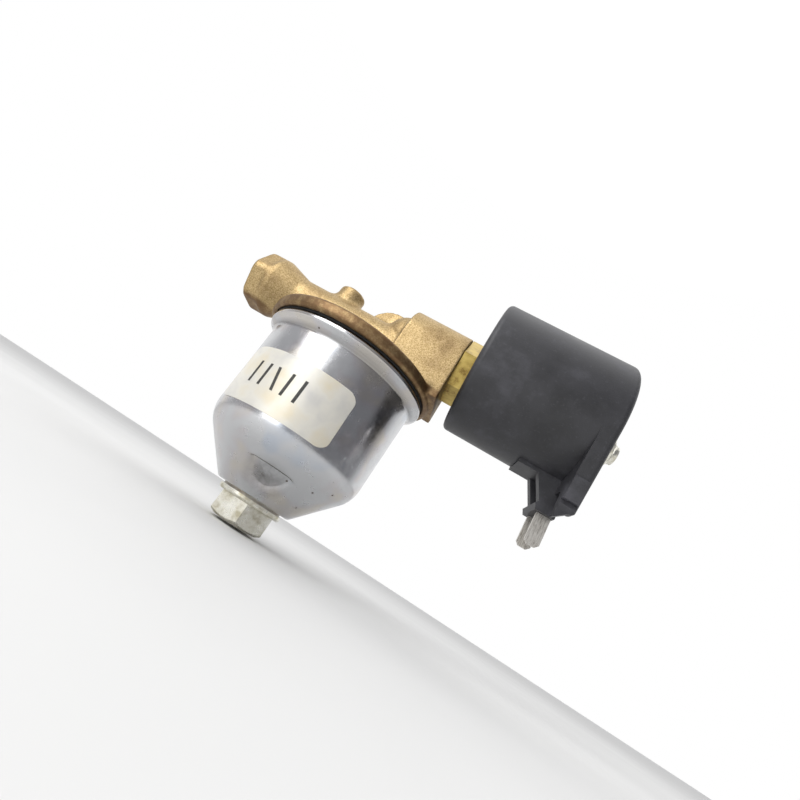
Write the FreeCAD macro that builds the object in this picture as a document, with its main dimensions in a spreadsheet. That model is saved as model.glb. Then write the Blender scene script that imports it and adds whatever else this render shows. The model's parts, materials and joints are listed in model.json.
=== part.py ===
import FreeCAD, Part
import os
import re

import Sketcher

# Solenoid shut-off valve with a filter bowl, in millimetres.
# The row frame starts at the mouth of the tapped mounting boss: +Z out of the boss,
# +X along the coil axis towards the coil. The bowl hangs down along -Z.

sizes = {
    # mounting boss
    "boss_to_bowl": 11.4,      # from the boss axis to the bowl axis
    "boss_top": 20.7,          # boss mouth above the flange's underside
    "boss_radius": 3.95,
    "boss_flare": 2.0,         # flare at the boss's foot and behind the inlet
    "boss_edge": 0.5,          # broken edge of the mouth
    "boss_tap_radius": 2.1,    # M5 tapping size
    "boss_tap_depth": 6.5,
    # flange and runner of the brass body
    "flange_rim": 1.3,         # flange beyond the bowl's lip
    "flange_height": 3.2,
    "flange_edge": 0.5,        # broken edge of the flange
    "runner_radius": 6.3,
    "runner_rise": 10.7,       # runner axis above the flange's underside
    "web_width": 10.0,
    # inlet port
    "inlet_reach": 12.1,       # inlet face beyond the flange's rim
    "inlet_radius": 8.6,
    "inlet_flats": 15.6,       # across the spanner flats
    "inlet_flat_length": 5.0,
    "inlet_collar": 1.2,
    "inlet_cone": 7.0,
    "inlet_tap_radius": 5.5,   # M12 x 1 tapping size
    "inlet_tap_depth": 9.0,
    "gas_bore": 2.6,
    "inlet_drop": 3.7,         # from the bowl wall to the drilling into the bowl
    # outlet port
    "outlet_offset": 3.6,      # from the bowl axis to the outlet axis
    "outlet_radius": 7.0,
    "outlet_reach": 19.0,      # from the tube axis to the outlet face
    "outlet_tap_radius": 4.5,  # M10 x 1 tapping size
    "outlet_tap_depth": 8.0,
    # seat chamber and valve block
    "tube_rise": 15.2,         # tube axis above the flange's underside
    "dome_radius": 6.9,
    "dome_start": 3.0,
    "dome_round": 6.0,
    "block_start": 8.7,
    "block_end": 25.5,
    "block_radius": 9.2,
    "block_bottom": 1.3,
    "block_round": 1.6,
    "chamber_start": 10.6,
    "riser_radius": 1.5,       # slanted way from the filter to the chamber
    "riser_length": 15.0,
    "riser_lean": 38.0,
    "riser_foot": 6.6,
    "seat_radius": 3.4,
    "seat_bore": 1.6,
    "seat_back": 6.4,
    "seat_nose": 13.4,
    "seat_lip": 0.5,
    # bowl
    "bowl_radius": 20.9,
    "bowl_taper": 0.6,         # draft of the wall down to the shoulder
    "bowl_wall": 0.9,
    "bowl_lip_width": 2.2,     # lip beyond the wall
    "bowl_lip_height": 1.9,
    "bowl_neck": 3.2,          # depth of the crease below the lip
    "bowl_shoulder": 28.6,     # depth where the cone begins
    "bowl_cone": 11.7,         # height of the cone
    "bowl_round": 4.4,
    "bowl_seat_radius": 9.6,   # flat at the bottom of the bowl
    "bowl_foot_round": 1.2,
    "bowl_lip_round": 0.8,
    "dimple_radius": 9.7,
    "dimple_reach": 0.2,       # centre of the dish's round, out from the bowl wall
    "dimple_edge": 4.7,        # the dish's straight upper edge, below the shoulder
    "dimple_drop": 4.9,        # centre of the dish's round, below that edge
    "dimple_turn": 16.0,       # turn of the dish from the front, towards the coil
    "bowl_gap": 0.3,           # seal standing proud of the flange
    "seal_depth": 1.0,
    "seal_width": 3.0,
    "seal_inset": 0.2,         # seal inside the lip's edge
    # bowl bolt
    "bolt_radius": 4.0,
    "bolt_hex": 13.0,
    "bolt_hex_height": 5.3,
    "bolt_flange_radius": 8.2,
    "bolt_flange": 1.2,
    "bolt_end": 11.5,          # bolt end above the flange's underside
    "bolt_washer": 0.5,
    "bolt_washer_radius": 7.6,
    "bolt_slack": 0.4,
    "bolt_bevel": 0.8,
    "bolt_bevel_rise": 1.4,
    "bolt_hex_turn": 48.0,
    "fit_gap": 0.04,           # clearance between fitted round faces
    # filter
    "filter_outer": 13.6,
    "filter_inner": 9.0,
    "filter_room": 3.6,        # filter element shorter than the bowl's straight wall
    "filter_cap": 1.4,
    "filter_cap_lip": 1.0,
    "filter_cap_wall": 0.5,
    "filter_tube_wall": 0.5,
    "filter_slots": 8,
    "filter_slot_width": 3.0,
    "filter_gasket": 1.2,
    "filter_ring": 3.0,
    "pleat_depth": 2.2,
    "pleat_width": 1.6,
    "pleat_count": 24,
    "spring_wire": 0.5,
    "bowl_spring_radius": 6.4,
    "bowl_spring_turns": 4,
    # armature tube
    "hex_flats": 16.0,
    "hex_length": 3.85,
    "hex_collar": 7.4,
    "base_wall": 1.55,         # thread of the base, outside the tube
    "base_thread_length": 6.0,
    "ring_width": 1.6,
    "ring_edge": 0.4,
    "ring_wall": 0.6,          # wall left between the tube and the ring groove
    "hex_turn": 52.0,
    "core_inset": 1.6,
    "tube_radius": 5.0,
    "tube_wall": 0.4,
    "plunger_gap": 0.08,       # running clearance of the plunger in the tube
    "plunger_length": 28.0,
    "stroke": 1.5,
    "pad_radius": 3.0,
    "pad_depth": 2.0,
    "pad_lip": 0.6,
    "gas_slot": 1.0,
    "return_spring_radius": 1.7,
    "return_spring_bore": 2.3,
    "return_spring_depth": 7.0,
    "return_spring_seat": 3.0,
    "return_spring_turns": 7,
    # coil
    "coil_radius": 18.8,
    "coil_length": 35.7,
    "coil_rise": 3.64,         # coil centre above the tube axis
    "coil_round": 1.4,
    "coil_end_round": 1.5,
    "housing_wall": 1.96,      # moulding below the bobbin
    "bobbin_flange": 1.2,
    "bobbin_wall": 0.9,
    "winding_inset": 0.8,      # winding below the bobbin's rim
    "yoke_plate": 2.5,
    "yoke_side": 3.2,          # yoke narrower than the bobbin, each side
    "yoke_inset": 0.8,
    "yoke_short": 1.7,         # yoke plates end above the bobbin's bottom
    "yoke_gap": 0.3,
    "yoke_round": 1.2,
    "tube_slack": 0.25,
    # connector on the coil
    "hood_depth": 4.35,
    "hood_angle": 70.0,        # where the hood leaves the round of the coil
    "hood_bottom": 7.8,        # below the coil's round
    "hood_drop": 2.2,
    "hood_wall": 2.4,
    "hood_arch": 4.6,
    "hood_pad": 0.7,
    "hood_pad_top": 0.2,
    "hood_pad_bottom": 5.5,
    "hood_groove": 1.0,
    "pad_keep": 0.8,
    "carrier_bottom": 0.5,
    "carrier_width": 8.8,
    "carrier_depth": 4.0,
    "collar_edge": 0.6,
    "slot_depth": 1.0,
    "carrier_reach": 15.25,    # places from here on are measured back from the coil's far end
    "gusset_wall": 2.2,
    "gusset_reach": 9.85,
    "gusset_foot": 6.85,
    "gusset_drop": 6.9,
    "collar_reach": 7.75,
    "collar_drop": 8.9,
    # blades
    "blade_reach": 6.25,
    "blade_width": 3.6,
    "blade_thick": 0.8,
    "blade_pitch": 6.4,
    "blade_tip": 16.5,
    "blade_root": 2.0,
    "blade_cover": 1.0,        # carrier beyond the blades
    "blade_chamfer": 0.8,
    # coil screw
    "washer_radius": 4.7,
    "washer_height": 0.8,
    "screw_radius": 4.6,
    "screw_round": 2.0,
    "screw_height": 5.0,
    "screw_thread": 2.5,
    "screw_depth": 8.0,
    "screw_tip_gap": 0.8,
    "screw_socket": 3.2,       # across the flats of the key socket
    "screw_socket_depth": 2.6,
    # label
    "label_thick": 0.12,
    "label_top": 11.0,
    "label_margin": 3.4,       # label's lower edge above the shoulder
    "label_turn": 88.0,
    "label_round": 2.2,
    "label_start": 9.0,       # turn of the label's middle from the front, towards the inlet
}

doc = FreeCAD.newDocument("solenoid_valve")
sheet = doc.addObject("Spreadsheet::Sheet", "Sizes")
for row, (alias, value) in enumerate(sizes.items(), start=1):
    sheet.set("A%d" % row, alias)
    sheet.set("B%d" % row, str(value))
    sheet.setAlias("B%d" % row, alias)
doc.recompute()

# what follows from the sizes above; along the coil, places are measured from the bowl axis
derived = {
    "underside": "-boss_top",                      # of the flange, in the row frame
    "tube_height": "tube_rise - boss_top",         # the tube axis, in the row frame
    "bowl_foot_radius": "bowl_radius - bowl_taper",
    "bowl_depth": "bowl_shoulder + bowl_cone",
    "bowl_lip_radius": "bowl_radius + bowl_lip_width",
    "flange_radius": "bowl_lip_radius + flange_rim",
    "inlet_end": "flange_radius + inlet_reach",
    "seal_outer": "bowl_lip_radius - seal_inset",
    "seal_inner": "seal_outer - seal_width",
    "drop_reach": "bowl_radius - inlet_drop",
    "dish_reach": "bowl_radius + dimple_reach",
    "dish_edge": "bowl_shoulder + dimple_edge",
    "dish_centre": "dish_edge + dimple_drop",
    "label_height": "bowl_shoulder - label_top - label_margin",
    "bolt_flange_top": "-bowl_depth - bolt_washer",
    "bolt_flange_foot": "bolt_flange_top - bolt_flange",
    "bolt_foot": "bolt_flange_foot - bolt_hex_height",
    "filter_length": "bowl_shoulder - filter_room",
    "cap_foot": "-filter_gasket - filter_cap",
    "filter_base": "cap_foot - filter_length",
    "filter_rim": "filter_outer + fit_gap",
    "tube_bore": "tube_radius - tube_wall",
    "plunger_radius": "tube_bore - plunger_gap",
    "plunger_front": "seat_nose + pad_lip",
    "plunger_rear": "plunger_front + plunger_length",
    "core_start": "plunger_rear + stroke",
    "core_end": "coil_end - core_inset",
    "base_bore": "tube_radius + fit_gap",
    "base_thread_radius": "tube_radius + base_wall",
    "ring_inner": "tube_radius + ring_wall",
    "thread_start": "block_end - base_thread_length",
    "coil_start": "block_end + hex_length",
    "coil_end": "coil_start + coil_length",
    "coil_foot": "coil_rise - coil_radius",        # lowest line of the coil, below the tube axis
    "coil_bore": "tube_radius + tube_slack",
    "bobbin_radius": "coil_radius - coil_rise - housing_wall",
    "bobbin_core": "coil_bore + bobbin_wall",
    "winding_radius": "bobbin_radius - winding_inset",
    "yoke_start": "coil_start + yoke_inset",
    "yoke_first": "yoke_start + yoke_plate",       # inner faces of the two plates
    "yoke_last": "yoke_end - yoke_plate",
    "yoke_end": "coil_end - yoke_inset",
    "yoke_web": "bobbin_radius + yoke_gap",
    "yoke_top": "yoke_web + yoke_plate",
    "yoke_width": "2 * (bobbin_radius - yoke_side)",
    "yoke_drop": "bobbin_radius - yoke_short",
    "hood_start": "coil_end - hood_depth",
    "hood_rise": "coil_rise - coil_radius * cos(hood_angle * 1 deg)",
    "hood_side": "coil_radius * sin(hood_angle * 1 deg)",
    "hood_foot": "coil_foot - hood_bottom",
    "hood_inner": "hood_side - (hood_rise - hood_foot) / tan(hood_angle * 1 deg)",
    "carrier_start": "coil_end - carrier_reach",
    "carrier_foot": "coil_foot - carrier_bottom",
    "carrier_top": "coil_foot + carrier_bottom",
    "gusset_start": "coil_end - gusset_reach",
    "gusset_corner": "coil_end - gusset_foot",
    "gusset_low": "coil_foot - gusset_drop",
    "collar_start": "coil_end - collar_reach",
    "collar_low": "coil_foot - collar_drop",
    "blade_start": "coil_end - blade_reach",
    "blade_end": "blade_start + blade_width",
    "blade_low": "coil_foot - blade_tip",
    "blade_high": "coil_foot + blade_root",
    "washer_end": "coil_end + washer_height",
    "screw_top": "washer_end + screw_height",
}
FULL_TURN = 360
CLOSE = 1e-4                                     # how near to its place an edge must lie to be picked
pieces = {}


def bound(text):
    # writes out what is derived, and puts the sheet's name before every alias
    def written(word):
        name = word[0]
        if name in derived:
            return "(%s)" % bound(derived[name])
        return "Sizes." + name if name in sizes else name

    return re.sub(r"[a-z][a-z_]+", written, text)


def valueOf(text):
    return float(sheet.evalExpression(bound(text)))


def addBody(label, height="underside"):
    # a body whose own origin lies on the bowl axis, at the given height
    body = doc.addObject("PartDesign::Body", label)
    body.Label = label
    body.setExpression(".Placement.Base.x", bound("boss_to_bowl"))
    body.setExpression(".Placement.Base.z", bound(height))
    pieces[label] = body
    return body


def addSketch(body, plane, shift=("0", "0", "0")):
    # shift is along the sketch's own x, y and normal
    sketch = body.newObject("Sketcher::SketchObject", body.Name + "Sketch")
    planes = {feature.Role: feature for feature in body.Origin.OriginFeatures}
    sketch.AttachmentSupport = [(planes[plane], "")]
    sketch.MapMode = "FlatFace"
    for way, amount in zip("xyz", shift):
        sketch.setExpression(".AttachmentOffset.Base." + way, bound(amount))
    return sketch


def pin(sketch, kind, curve, end, text):
    # holds one coordinate of a point at an expression over the sheet
    if kind == "DistanceX" or kind == "DistanceY":
        index = sketch.addConstraint(Sketcher.Constraint(kind, -1, 1, curve, end, valueOf(text)))
    else:
        index = sketch.addConstraint(Sketcher.Constraint(kind, curve, valueOf(text)))
    sketch.setExpression("Constraints[%d]" % index, bound(text))


def outline(sketch, corners):
    # closed outline; a corner (x, y) ends a straight run, and (x, y, radius, side) ends an arc whose
    # centre lies on that side, +1 left or -1 right, of the way from the corner before it
    places = [FreeCAD.Vector(valueOf(corner[0]), valueOf(corner[1]), 0) for corner in corners]
    runs = []
    for number, corner in enumerate(corners):
        start = places[number - 1]
        end = places[number]
        if len(corner) == 2:
            curve = sketch.addGeometry(Part.LineSegment(start, end))
            runs.append((curve, 1, 2))
            continue
        radius = valueOf(corner[2])
        chord = end - start
        across = FreeCAD.Vector(-chord.y, chord.x, 0).normalize() * corner[3]
        reach = max(radius ** 2 - chord.Length ** 2 / 4, 0) ** 0.5
        centre = (start + end) * 0.5 + across * reach
        first = start if corner[3] > 0 else end
        last = end if corner[3] > 0 else start
        circle = Part.Circle(centre, FreeCAD.Vector(0, 0, 1), radius)
        angles = [circle.parameter(place) for place in (first, last)]
        curve = sketch.addGeometry(Part.ArcOfCircle(circle, angles[0], angles[1]))
        runs.append((curve, 1, 2) if corner[3] > 0 else (curve, 2, 1))
    for number, corner in enumerate(corners):
        curve, begins, ends = runs[number]
        before = runs[number - 1]
        sketch.addConstraint(Sketcher.Constraint("Coincident", before[0], before[2], curve, begins))
        pin(sketch, "DistanceX", curve, ends, corner[0])
        pin(sketch, "DistanceY", curve, ends, corner[1])
        if len(corner) == 4:
            pin(sketch, "Radius", curve, 0, corner[2])


def ring(sketch, x, y, radius):
    centre = FreeCAD.Vector(valueOf(x), valueOf(y), 0)
    curve = sketch.addGeometry(Part.Circle(centre, FreeCAD.Vector(0, 0, 1), valueOf(radius)))
    pin(sketch, "DistanceX", curve, 3, x)
    pin(sketch, "DistanceY", curve, 3, y)
    pin(sketch, "Radius", curve, 0, radius)


def hexagon(flats, turn):
    # corners of a hexagon across flats, with one corner turned by an angle from the first axis
    return [("(%s) / sqrt(3) * cos(%s + %d deg)" % (flats, turn, step),
             "(%s) / sqrt(3) * sin(%s + %d deg)" % (flats, turn, step)) for step in range(0, 360, 60)]


def box(x0, y0, x1, y1):
    return [(x0, y0), (x1, y0), (x1, y1), (x0, y1)]


def feature(body, kind, sketch, settings, cuts):
    # adds the feature and makes sure that it changed the solid the way it should
    before = body.Tip.Shape.Volume if body.Tip else 0
    made = body.newObject(kind, kind.split("::")[1])
    made.Profile = sketch
    for key, value in settings.items():
        if isinstance(value, str):
            made.setExpression(key, bound(value))
        else:
            setattr(made, key, value)
    doc.recompute()
    change = made.Shape.Volume - before
    if (change > -1e-6) if cuts else (change < 1e-6):
        raise RuntimeError("%s on %s changed nothing" % (kind, body.Label))
    return made


def extrude(body, sketch, length, cuts=False, back=False):
    # along the sketch's normal, or against it when back is set
    kind = "PartDesign::Pocket" if cuts else "PartDesign::Pad"
    return feature(body, kind, sketch, {"Length": length, "Reversed": back != cuts}, cuts)


def turn(body, sketch, axis="H_Axis", cuts=False, angle=FULL_TURN):
    kind = "PartDesign::Groove" if cuts else "PartDesign::Revolution"
    settings = {"ReferenceAxis": (sketch, [axis]), "Angle": angle}
    return feature(body, kind, sketch, settings, cuts)


def bar(body, plane, shift, radius, length, cuts=False, back=False):
    sketch = addSketch(body, plane, shift)
    ring(sketch, "0", "0", radius)
    return extrude(body, sketch, length, cuts, back)


def lathe(label, corners, height="tube_height", axis="H_Axis"):
    # a turned piece: corners are (along, radius) about the tube axis, (radius, along) about the bowl axis
    body = addBody(label, height)
    sketch = addSketch(body, "XZ_Plane")
    outline(sketch, corners)
    turn(body, sketch, axis)
    return body


def soften(body, radius, wanted, kind="PartDesign::Fillet"):
    # rounds or bevels every edge of the body that the test picks
    base = body.Tip
    names = ["Edge%d" % (number + 1) for number, edge in enumerate(base.Shape.Edges) if wanted(edge)]
    if not names:
        raise RuntimeError("no edge to soften on " + body.Label)
    made = body.newObject(kind, kind.split("::")[1])
    made.Base = (base, names)
    made.setExpression("Radius" if kind.endswith("Fillet") else "Size", bound(radius))
    doc.recompute()


def isRing(edge, place, way="z"):
    # a full circle about the body's axis at a given place along it
    if not hasattr(edge.Curve, "Radius") or not edge.isClosed():
        return False
    return abs(getattr(edge.Curve.Center, way) - place) < CLOSE


def coilSpring(label, radius, length, turns, start, along, height):
    # round wire wound on a helix
    wire = doc.addObject("Part::Helix", label + "_path")
    wire.setExpression("Radius", bound(radius))
    wire.setExpression("Height", bound("%s - 2 * spring_wire" % length))
    wire.setExpression("Pitch", bound("(%s - 2 * spring_wire) / %s" % (length, turns)))
    section = doc.addObject("Part::Circle", label + "_section")
    section.setExpression("Radius", bound("spring_wire"))
    section.setExpression(".Placement.Base.x", bound(radius))
    section.Placement.Rotation = FreeCAD.Rotation(FreeCAD.Vector(1, 0, 0), 90)
    doc.recompute()
    spring = doc.addObject("Part::Sweep", label)
    spring.Label = label
    spring.Sections = [section]
    spring.Spine = (wire, ["Edge%d" % (number + 1) for number in range(len(wire.Shape.Edges))])
    spring.Solid = True
    spring.Frenet = True
    if along == "x":
        spring.Placement.Rotation = FreeCAD.Rotation(FreeCAD.Vector(0, 1, 0), 90)
        spring.setExpression(".Placement.Base.x", bound("boss_to_bowl + spring_wire + " + start))
        spring.setExpression(".Placement.Base.z", bound(height))
    else:
        spring.setExpression(".Placement.Base.x", bound("boss_to_bowl"))
        spring.setExpression(".Placement.Base.z", bound("%s + spring_wire + %s" % (height, start)))
    pieces[label] = spring
    return spring


# ---- brass valve body: flange, runner, ports, seat chamber and boss in one casting ----

def makeValveBody():
    body = addBody("valve_body")
    sketch = addSketch(body, "XZ_Plane")
    outline(sketch, [("0", "0"), ("flange_radius - flange_edge", "0"), ("flange_radius", "flange_edge"),
                     ("flange_radius", "flange_height - flange_edge"),
                     ("flange_radius - flange_edge", "flange_height"), ("0", "flange_height")])
    turn(body, sketch, "V_Axis")

    # runner from the inlet to the dome, with the inlet's round end and cone
    neck = "-inlet_end + inlet_flat_length + inlet_collar"
    domeTop = "dome_start + dome_round"
    blockStart = "block_start + block_round"
    sketch = addSketch(body, "XZ_Plane", ("0", "runner_rise", "0"))
    outline(sketch, [("-inlet_end", "0"), ("-inlet_end", "inlet_radius - flange_edge"),
                     ("-inlet_end + flange_edge", "inlet_radius"), (neck, "inlet_radius"),
                     (neck + " + inlet_cone", "runner_radius"), (domeTop, "runner_radius"), (domeTop, "0")])
    turn(body, sketch)
    neckAt = valueOf(neck)
    coneEnd = valueOf(neck + " + inlet_cone")
    soften(body, "boss_flare", lambda edge: isRing(edge, coneEnd, "x"))
    soften(body, "flange_edge", lambda edge: isRing(edge, neckAt, "x"))

    # mounting boss, flared into the runner
    bar(body, "XY_Plane", ("-boss_to_bowl", "0", "runner_rise"), "boss_radius", "boss_top - runner_rise")
    top = valueOf("boss_top")
    soften(body, "boss_flare", lambda edge: atBossFoot(edge, top))
    soften(body, "boss_edge", lambda edge: isRing(edge, top))

    # web that joins the runner to the flange, and the spanner flats on the inlet
    sketch = addSketch(body, "XY_Plane")
    outline(sketch,
            box("-flange_radius + seal_depth + flange_edge", "-web_width / 2", blockStart, "web_width / 2"))
    extrude(body, sketch, "runner_rise")
    sketch = addSketch(body, "YZ_Plane", ("0", "runner_rise", "-inlet_end"))
    ring(sketch, "0", "0", "inlet_radius + inlet_collar")
    outline(sketch, hexagon("inlet_flats", "0 deg"))
    extrude(body, sketch, "inlet_flat_length", cuts=True)

    # seat chamber: dome, tombstone block and the outlet at the back
    sketch = addSketch(body, "XZ_Plane", ("0", "tube_rise", "0"))
    outline(sketch, [("dome_start", "0"), ("dome_start", "dome_radius - dome_round"),
                     (domeTop, "dome_radius", "dome_round", -1), (blockStart, "dome_radius"),
                     (blockStart, "0")])
    turn(body, sketch)
    sketch = addSketch(body, "YZ_Plane", ("0", "0", "block_start"))
    outline(sketch, [("-block_radius", "block_bottom"), ("block_radius", "block_bottom"),
                     ("block_radius", "tube_rise"), ("0", "tube_rise + block_radius", "block_radius", 1),
                     ("-block_radius", "tube_rise", "block_radius", 1)])
    extrude(body, sketch, "block_end - block_start")
    bar(body, "XZ_Plane", ("outlet_offset", "tube_rise", "0"), "outlet_radius", "outlet_reach", back=True)

    # gas ways: inlet, drop into the bowl, slanted riser into the chamber, outlet
    inlet = ("0", "runner_rise", "-inlet_end")
    bar(body, "YZ_Plane", inlet, "inlet_tap_radius", "inlet_tap_depth", cuts=True)
    bar(body, "YZ_Plane", inlet, "gas_bore", "inlet_end - drop_reach", cuts=True)
    bar(body, "XY_Plane", ("-(drop_reach)", "0", "0"), "gas_bore", "runner_rise", cuts=True)
    bar(body, "XY_Plane", ("0", "0", "0"), "bolt_radius + fit_gap", "bolt_end + seal_depth", cuts=True)
    face = ("0", "tube_rise", "block_end")
    bar(body, "YZ_Plane", face, "base_thread_radius + fit_gap", "block_end - chamber_start", cuts=True,
        back=True)
    bar(body, "YZ_Plane", face, "seat_radius", "block_end - seat_back + seal_depth", cuts=True, back=True)
    outlet = ("outlet_offset", "tube_rise", "-outlet_reach")
    bar(body, "XZ_Plane", outlet, "outlet_tap_radius", "outlet_tap_depth", cuts=True)
    bar(body, "XZ_Plane", outlet, "gas_bore", "outlet_reach + gas_bore / 2", cuts=True)
    riser = body.newObject("PartDesign::SubtractiveCylinder", "Riser")
    riser.setExpression("Radius", bound("riser_radius"))
    riser.setExpression("Height", bound("riser_length"))
    planes = {origin.Role: origin for origin in body.Origin.OriginFeatures}
    riser.AttachmentSupport = [(planes["XY_Plane"], "")]
    riser.MapMode = "FlatFace"
    riser.AttachmentOffset.Rotation = FreeCAD.Rotation(FreeCAD.Vector(0, 1, 0), 1)
    riser.setExpression(".AttachmentOffset.Rotation.Angle", bound("riser_lean * 1 deg"))
    riser.setExpression(".AttachmentOffset.Base.x", bound("riser_foot"))
    doc.recompute()

    # tapped boss and the seal's groove
    bar(body, "XY_Plane", ("-boss_to_bowl", "0", "boss_top"), "boss_tap_radius", "boss_tap_depth",
        cuts=True, back=True)
    sketch = addSketch(body, "XZ_Plane")
    outline(sketch, box("seal_inner", "0", "seal_outer", "seal_depth"))
    turn(body, sketch, "V_Axis", cuts=True)


def atBossFoot(edge, top):
    # the curve where the boss meets the runner: on the boss's round all the way, and below its mouth
    for place in edge.discretize(9):
        away = FreeCAD.Vector(place.x + valueOf("boss_to_bowl"), place.y, 0).Length
        if abs(away - valueOf("boss_radius")) > CLOSE or abs(place.z - top) < CLOSE:
            return False
    return True


def makeSeat():
    lathe("seat_insert", [("seat_back", "seat_bore"), ("seat_back", "seat_radius - fit_gap"),
                          ("seat_nose - seat_lip * 2", "seat_radius - fit_gap"),
                          ("seat_nose", "seat_bore + seat_lip"), ("seat_nose", "seat_bore")])


# ---- filter bowl and what it holds ----

def bowlSkin(label, inset):
    # the solid that fills the bowl's outline, set in by the wall
    body = doc.addObject("PartDesign::Body", label)
    body.setExpression(".Placement.Base.x", bound("boss_to_bowl"))
    body.setExpression(".Placement.Base.z", bound("underside"))
    sketch = addSketch(body, "XZ_Plane")
    crease = "-bowl_neck"
    if inset:
        outline(sketch, [("0", "-bowl_depth + bowl_wall"),
                         ("bowl_seat_radius - bowl_wall / 2", "-bowl_depth + bowl_wall"),
                         ("bowl_foot_radius - bowl_wall", "-bowl_shoulder + bowl_wall / 3"),
                         ("bowl_radius - bowl_wall", crease), ("bowl_radius - bowl_wall", "bowl_wall"),
                         ("0", "bowl_wall")])
    else:
        outline(sketch, [("0", "-bowl_depth"), ("bowl_seat_radius", "-bowl_depth"),
                         ("bowl_foot_radius", "-bowl_shoulder"), ("bowl_radius", crease),
                         ("bowl_lip_radius - bowl_lip_round", "-bowl_gap - bowl_lip_height"),
                         ("bowl_lip_radius", "-bowl_gap - bowl_lip_height + bowl_lip_round",
                          "bowl_lip_round", 1),
                         ("bowl_lip_radius", "-bowl_gap - bowl_lip_round"),
                         ("bowl_lip_radius - bowl_lip_round", "-bowl_gap", "bowl_lip_round", 1),
                         ("0", "-bowl_gap")])
    turn(body, sketch, "V_Axis")
    inside = valueOf("-bowl_shoulder + bowl_wall / 3") if inset else valueOf("-bowl_shoulder")
    soften(body, "bowl_round - bowl_wall" if inset else "bowl_round", lambda edge: isRing(edge, inside))
    foot = valueOf("-bowl_depth + bowl_wall") if inset else valueOf("-bowl_depth")
    soften(body, "bowl_foot_round", lambda edge: isRing(edge, foot))
    return body


def pressedDish(label, grown):
    # ball pressed into the cone, cut off level at the dish's straight upper edge
    ball = doc.addObject("Part::Sphere", label)
    ball.setExpression("Radius", bound("dimple_radius + " + grown))
    ball.Angle1 = -90
    ball.setExpression("Angle2", bound("asin((dimple_drop + %s) / (dimple_radius + %s))" % (grown, grown)))
    ball.setExpression(".Placement.Base.x", bound("boss_to_bowl + dish_reach * sin(dimple_turn * 1 deg)"))
    ball.setExpression(".Placement.Base.y", bound("-dish_reach * cos(dimple_turn * 1 deg)"))
    ball.setExpression(".Placement.Base.z", bound("underside - dish_centre"))
    return ball


def subtract(label, base, tool):
    cut = doc.addObject("Part::Cut", label)
    cut.Base = base
    cut.Tool = tool
    doc.recompute()
    if cut.Shape.Volume > base.Shape.Volume - 1e-6:
        raise RuntimeError(label + " cuts nothing")
    return cut


def makeBowl():
    outside = bowlSkin("bowl_outside", inset=False)
    inside = bowlSkin("bowl_inside", inset=True)
    hollow = subtract("bowl_hollow", inside, pressedDish("dish_inside", "bowl_wall"))
    shell = subtract("bowl_shell", outside, hollow)
    dished = subtract("bowl_dished", shell, pressedDish("dish_outside", "0"))
    hole = doc.addObject("Part::Cylinder", "bowl_hole")
    hole.setExpression("Radius", bound("bolt_radius + bolt_slack"))
    hole.setExpression("Height", bound("bowl_depth"))
    hole.setExpression(".Placement.Base.x", bound("boss_to_bowl"))
    hole.setExpression(".Placement.Base.z", bound("underside - bowl_depth - bowl_wall"))
    bowl = subtract("filter_bowl", dished, hole)
    bowl.Label = "filter_bowl"
    pieces["filter_bowl"] = bowl


def makeLabel():
    # thin sticker that follows the bowl's slight taper: a band all round, cut by a rounded oblong
    slope = "(bowl_radius - bowl_foot_radius) / (bowl_shoulder - bowl_neck)"
    skin = "bowl_radius - (%s - bowl_neck) * " + slope + " + fit_gap"
    upper = skin % "label_top"
    lower = skin % "(label_top + label_height)"
    band = doc.addObject("PartDesign::Body", "label_band")
    sketch = addSketch(band, "XZ_Plane")
    outline(sketch, [(lower, "-label_top - label_height"),
                     (lower + " + label_thick", "-label_top - label_height"),
                     (upper + " + label_thick", "-label_top"), (upper, "-label_top")])
    turn(band, sketch, "V_Axis")
    oblong = doc.addObject("PartDesign::Body", "label_oblong")
    sketch = addSketch(oblong, "XZ_Plane", ("0", "-label_top", "0"))
    half = "bowl_radius * sin(label_turn * 0.5 deg)"
    inner = half + " - label_round"
    outline(sketch, [("-(%s)" % inner, "-label_height", "label_round", 1), (inner, "-label_height"),
                     (half, "-label_height + label_round", "label_round", 1), (half, "-label_round"),
                     (inner, "0", "label_round", 1), ("-(%s)" % inner, "0"),
                     ("-(%s)" % half, "-label_round", "label_round", 1),
                     ("-(%s)" % half, "-label_height + label_round")])
    extrude(oblong, sketch, "bowl_lip_radius")
    label = doc.addObject("Part::Common", "bowl_label")
    label.Base = band
    label.Tool = oblong
    label.Label = "bowl_label"
    label.setExpression(".Placement.Base.x", bound("boss_to_bowl"))
    label.setExpression(".Placement.Base.z", bound("underside"))
    label.Placement.Rotation = FreeCAD.Rotation(FreeCAD.Vector(0, 0, -1), 1)
    label.setExpression(".Placement.Rotation.Angle", bound("label_start * 1 deg"))
    doc.recompute()
    pieces["bowl_label"] = label


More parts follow.
